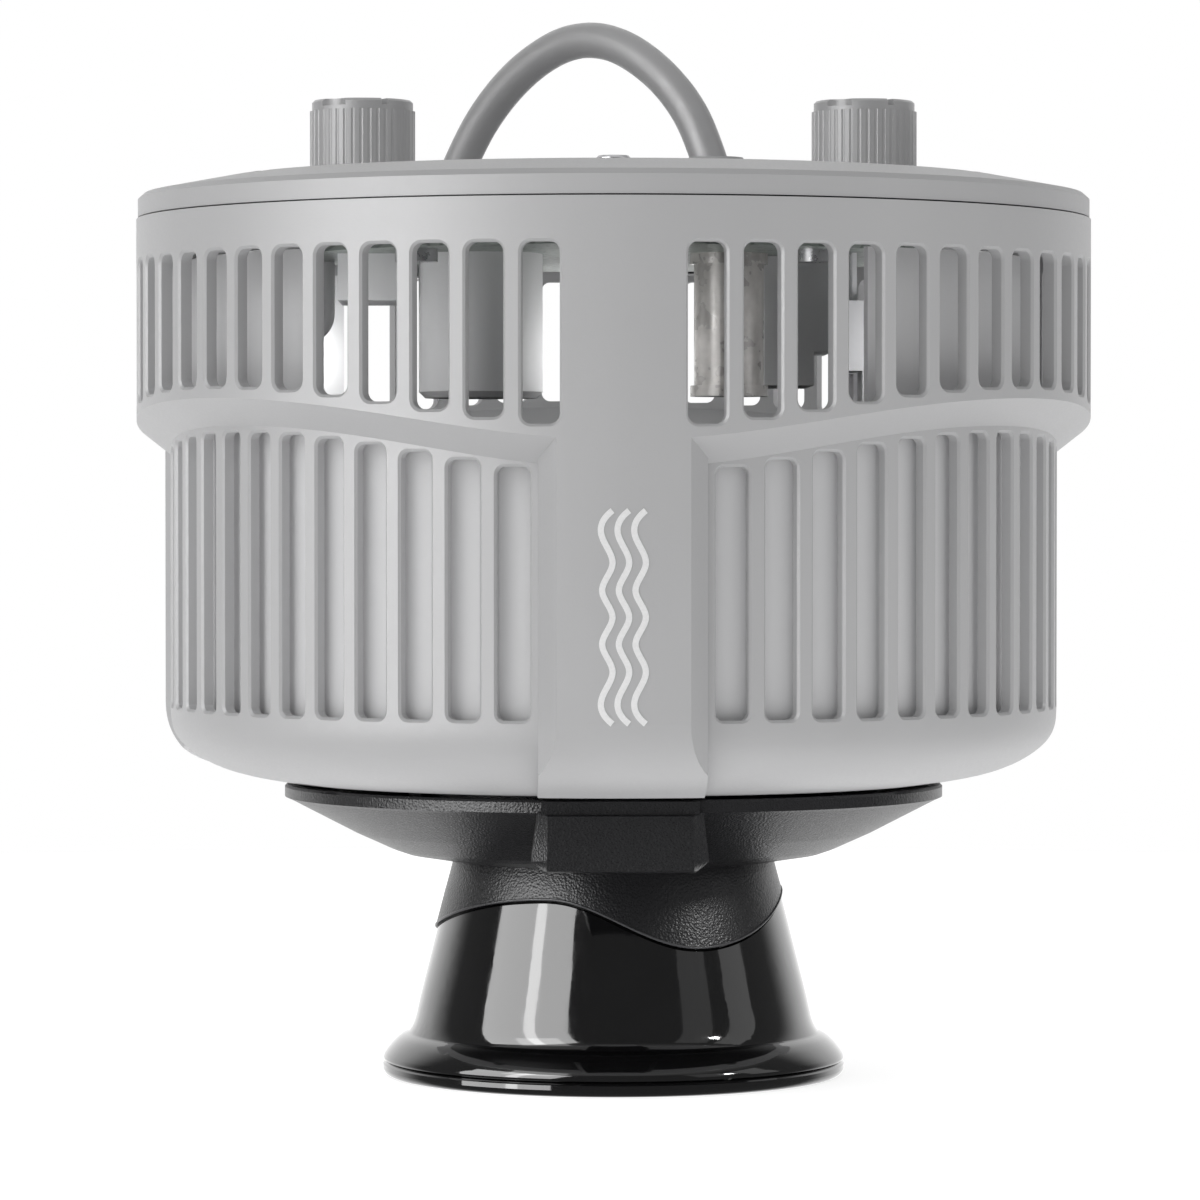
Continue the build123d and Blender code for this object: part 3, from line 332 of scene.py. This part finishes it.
CAMERA_LENS = 159.6
CAMERA_SENSOR = 36.0
CAMERA_DISTANCE = 0.700
CAMERA_HEIGHT = 0.0755
CAMERA_AZIMUTH = math.radians(-1.15)
CAMERA_AIM = Vector((-0.00178, 0.0, 0.0623))
camera_data = bpy.data.cameras.new("camera")
camera_data.lens = CAMERA_LENS
camera_data.sensor_width = CAMERA_SENSOR
camera = bpy.data.objects.new("camera", camera_data)
bpy.context.collection.objects.link(camera)
camera.location = (
    CAMERA_DISTANCE * math.sin(CAMERA_AZIMUTH),
    -CAMERA_DISTANCE * math.cos(CAMERA_AZIMUTH),
    CAMERA_HEIGHT,
)
camera.rotation_euler = (CAMERA_AIM - camera.location).to_track_quat("-Z", "Y").to_euler()
bpy.context.scene.camera = camera
bpy.context.scene.view_settings.view_transform = "Standard"

LIGHT_CENTRE = Vector((0.0, 0.0, 0.05))


def lit_from(name, azimuth, elevation, distance, size, radiance, diffuse=True):
    """A softbox at an azimuth from the front (positive to the right) and elevation in degrees.

    Without diffuse, it shows in reflections only.
    """
    turn, rise = math.radians(azimuth), math.radians(elevation)
    level = math.cos(rise)
    away = Vector((level * math.sin(turn), -level * math.cos(turn), math.sin(rise)))
    data = bpy.data.lights.new(name, "AREA")
    data.shape = "RECTANGLE"
    data.size, data.size_y = size
    data.energy = radiance * math.pi * size[0] * size[1]
    lamp = bpy.data.objects.new(name, data)
    bpy.context.collection.objects.link(lamp)
    lamp.location = LIGHT_CENTRE + distance * away
    lamp.rotation_euler = (LIGHT_CENTRE - lamp.location).to_track_quat("-Z", "Y").to_euler()
    lamp.visible_diffuse = diffuse
    lamp.visible_camera = False


# A broad panel at the left front with a tube down its middle, and a spot and two panels at the
# right, show in reflections only. The key also lights the object directly
lit_from("left_panel", -56.4, 17.0, 1.0, (1.01, 1.05), 5.5, diffuse=False)
lit_from("left_tube", -52.0, 17.0, 0.98, (0.12, 1.03), 5.0, diffuse=False)
lit_from("right_spot", 62.0, 26.5, 0.8, (0.06, 0.05), 150.0, diffuse=False)
lit_from("right_panel", 80.0, 24.0, 1.0, (0.32, 0.6), 0.7, diffuse=False)
lit_from("faint_panel", 50.0, 24.0, 1.05, (0.34, 0.6), 0.35, diffuse=False)
lit_from("key", -50.0, 42.0, 1.6, (0.7, 0.7), 2.6)

# Small lamps between the inner parts keep them pale inside the housing; places in millimetres
INNER_LAMPS = [
    (0, -14, 94), (0, 30, 95), (38, -28, 94), (-38, -26, 94), (42, 22, 95), (-36, 32, 95),
]
INNER_LAMP_WATTS = 0.0045
INNER_LAMP_RADIUS = 0.004
for number, place in enumerate(INNER_LAMPS):
    data = bpy.data.lights.new(f"inner_lamp_{number}", "POINT")
    data.energy = INNER_LAMP_WATTS
    data.shadow_soft_size = INNER_LAMP_RADIUS
    lamp = bpy.data.objects.new(f"inner_lamp_{number}", data)
    bpy.context.collection.objects.link(lamp)
    lamp.location = tuple(MM * v for v in place)
    lamp.visible_camera = False
    lamp.visible_glossy = False

# The room: white as the camera sees it, an even grey for diffuse light, and in reflections
# bright behind and above the object and dark in front of it
ROOM_SEEN = 1.0
ROOM_DIFFUSE = 0.41
world = bpy.data.worlds.new("studio")
bpy.context.scene.world = world
world.use_nodes = True
sky = world.node_tree


def sky_node(kind):
    return sky.nodes.new("ShaderNode" + kind)


def sky_colour(strength):
    made = sky_node("Background")
    made.inputs["Color"].default_value = (1.0, 1.0, 1.0, 1.0)
    made.inputs["Strength"].default_value = strength
    return made


def sky_ramp(output, start, end, low, high):
    made = sky_node("MapRange")
    made.interpolation_type = "SMOOTHSTEP"
    for key, value in {"From Min": start, "From Max": end, "To Min": low, "To Max": high}.items():
        made.inputs[key].default_value = value
    sky.links.new(output, made.inputs["Value"])
    return made.outputs["Result"]


split = sky_node("SeparateXYZ")
sky.links.new(sky_node("TexCoord").outputs["Generated"], split.inputs[0])
behind = sky_ramp(split.outputs["Y"], start=0.35, end=0.75, low=0.16, high=1.15)
above = sky_ramp(split.outputs["Z"], start=0.60, end=0.95, low=0.0, high=0.9)
brighter = sky_node("Math")
brighter.operation = "MAXIMUM"
sky.links.new(behind, brighter.inputs[0])
sky.links.new(above, brighter.inputs[1])
mirrored = sky_colour(1.0)
sky.links.new(brighter.outputs[0], mirrored.inputs["Strength"])
rays = sky_node("LightPath")
shine = sky_node("MixShader")
sky.links.new(rays.outputs["Is Diffuse Ray"], shine.inputs[0])
sky.links.new(mirrored.outputs[0], shine.inputs[1])
sky.links.new(sky_colour(ROOM_DIFFUSE).outputs[0], shine.inputs[2])
seen = sky_node("MixShader")
sky.links.new(rays.outputs["Is Camera Ray"], seen.inputs[0])
sky.links.new(shine.outputs[0], seen.inputs[1])
sky.links.new(sky_colour(ROOM_SEEN).outputs[0], seen.inputs[2])
sky.links.new(seen.outputs[0], sky.nodes["World Output"].inputs["Surface"])

# The floor gives off light of its own, so that it stays near white, and isn't in reflections
FLOOR_RADIUS = 0.45
floor_mesh = bpy.data.meshes.new("floor")
floor_shape = bmesh.new()
bmesh.ops.create_circle(floor_shape, cap_ends=True, segments=96, radius=FLOOR_RADIUS)
floor_shape.to_mesh(floor_mesh)
floor_shape.free()
floor = bpy.data.objects.new("floor", floor_mesh)
bpy.context.collection.objects.link(floor)
floor_paint = Paint(
    "pale_floor",
    (0.6, 0.6, 0.6, 1.0),
    0.9,
    Emission_Color=(1.0, 1.0, 1.0, 1.0),
    Emission_Strength=0.8,
)
floor_paint.bump((floor_paint.noise(120.0, 3.0, 0.5), 0.04, 0.0005))
floor_mesh.materials.append(floor_paint.material)
floor.visible_glossy = False

# ---------------------------------------------------------------- tether loop

TETHER_DIAMETER = 0.0048
TETHER_ROUTE = [
    (13.6, 4.2, 117.6),
    (12.3, 5.5, 122.2),
    (9.9, 8.0, 128.0),
    (5.6, 12.3, 133.4),
    (0.2, 17.8, 137.3),
    (-5.4, 23.6, 137.9),
    (-10.9, 29.1, 135.1),
    (-15.6, 33.9, 130.5),
    (-19.4, 37.8, 124.6),
    (-22.6, 41.0, 117.1),
]


def nurbs(name, route, diameter, material):
    """A round cord on one open NURBS curve through a route in millimetres."""
    data = bpy.data.curves.new(name, "CURVE")
    data.dimensions = "3D"
    data.bevel_depth = diameter / 2
    data.bevel_resolution = 8
    data.use_fill_caps = True
    data.resolution_u = 16
    spline = data.splines.new("NURBS")
    spline.points.add(len(route) - 1)
    for point, place in zip(spline.points, route):
        point.co = (*(MM * v for v in place), 1.0)
    spline.order_u = 3
    spline.use_endpoint_u = True
    data.materials.append(material)
    cord = bpy.data.objects.new(name, data)
    bpy.context.collection.objects.link(cord)
    return cord


tether = nurbs("tether_jacket", TETHER_ROUTE, TETHER_DIAMETER, CABLE)
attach(tether, "light")
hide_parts("tether_loop")

# ---------------------------------------------------------------- sleeve lip

# The cone's taper and how far the sleeve stands proud of it, in millimetres
CONE_TOP_Z = 28.2
CONE_BASE_Z = 7.1
CONE_TOP_R = 20.8
CONE_FLARE = 5.35
CONE_BELL = 0.35
SLEEVE_PROUD = 0.3
# The sleeve's lower edge: (angle, height) of each low and high point, in turn, in millimetres
SLEEVE_EDGE = [(27, 18.1), (95, 24.4), (150, 18.1), (198, 24.2), (240, 18.1), (337, 24.2)]
# The lip in millimetres: half its width and height, how far it is sunk, and its rise
LIP_PROUD = 0.14
LIP_TALL = 0.17
LIP_SUNK = 0.05
LIP_RISE = 0.16
LIP_STEPS = 240
LIP_SIDES = 10


def sleeve_edge(angle):
    """The height of the sleeve's lower edge, eased between its low and high points."""
    first = SLEEVE_EDGE[0]
    points = [*SLEEVE_EDGE, (first[0] + 360, first[1])]
    turned = first[0] + (angle - first[0]) % 360
    for (a, low), (b, high) in zip(points, points[1:]):
        if a <= turned <= b:
            share = math.cos(math.pi * (turned - a) / (b - a))
            return (low + high) / 2 + (low - high) / 2 * share


def sleeve_radius(height):
    """The sleeve's outer radius at a height, both in millimetres."""
    share = (CONE_TOP_Z - height) / (CONE_TOP_Z - CONE_BASE_Z)
    cone_radius = CONE_TOP_R + CONE_FLARE * share + CONE_BELL * share * (1 - share)
    return cone_radius + SLEEVE_PROUD


def closed_ring(name, rings, material):
    """A smooth closed ring through sections of equally many points."""
    mesh = bpy.data.meshes.new(name)
    shape = bmesh.new()
    rows = [[shape.verts.new(place) for place in ring] for ring in rings]
    count = len(rows[0])
    for here, after in zip(rows, [*rows[1:], rows[0]]):
        for k in range(count):
            far = (k + 1) % count
            shape.faces.new((here[k], after[k], after[far], here[far])).smooth = True
    bmesh.ops.recalc_face_normals(shape, faces=shape.faces)
    shape.to_mesh(mesh)
    shape.free()
    mesh.materials.append(material)
    made = bpy.data.objects.new(name, mesh)
    bpy.context.collection.objects.link(made)
    return made


def lip_section(angle):
    """The oval section of the sleeve's rolled edge at an angle in degrees, in metres."""
    height = sleeve_edge(angle)
    radius = sleeve_radius(height) - LIP_SUNK
    turn = math.radians(angle)
    outward = Vector((math.sin(turn), -math.cos(turn), 0.0))
    ring = []
    for k in range(LIP_SIDES):
        bend = 2 * math.pi * k / LIP_SIDES
        out, up = LIP_PROUD * math.cos(bend), LIP_TALL * math.sin(bend)
        ring.append(MM * (outward * (radius + out) + Vector((0.0, 0.0, height + LIP_RISE + up))))
    return ring


# The lip is painted paler than the satin black sleeve: a painted highlight along the sleeve's lower
# edge
LIP = rubbery("lip_painted_highlight", (82, 82, 84), 0.3, 0.0)
lip_rings = [lip_section(360 * i / LIP_STEPS) for i in range(LIP_STEPS)]
lip = closed_ring("sleeve_lip", lip_rings, LIP)
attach(lip, "reflector")

# ---------------------------------------------------------------- shoulder bead

# The rounded shoulder over the cone's foot, above the rim, as (radius, height) in millimetres
SHOULDER = [
    (26.62, 6.05), (26.85, 5.72), (27.2, 5.52), (27.7, 5.3), (28.3, 4.9), (29.0, 4.25),
    (29.65, 3.5), (30.1, 2.85), (30.3, 2.4), (30.25, 2.1), (30.0, 1.95), (27.6, 2.3), (26.0, 4.6),
]
SHOULDER_STEPS = 256


def shoulder_section(turn):
    """The shoulder's section at a turn about Z in radians, in metres."""
    return [(MM * r * math.cos(turn), MM * r * math.sin(turn), MM * z) for r, z in SHOULDER]


bead_rings = [shoulder_section(2 * math.pi * i / SHOULDER_STEPS) for i in range(SHOULDER_STEPS)]
bead = closed_ring("shoulder_bead", bead_rings, GLOSS)
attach(bead, "reflector")
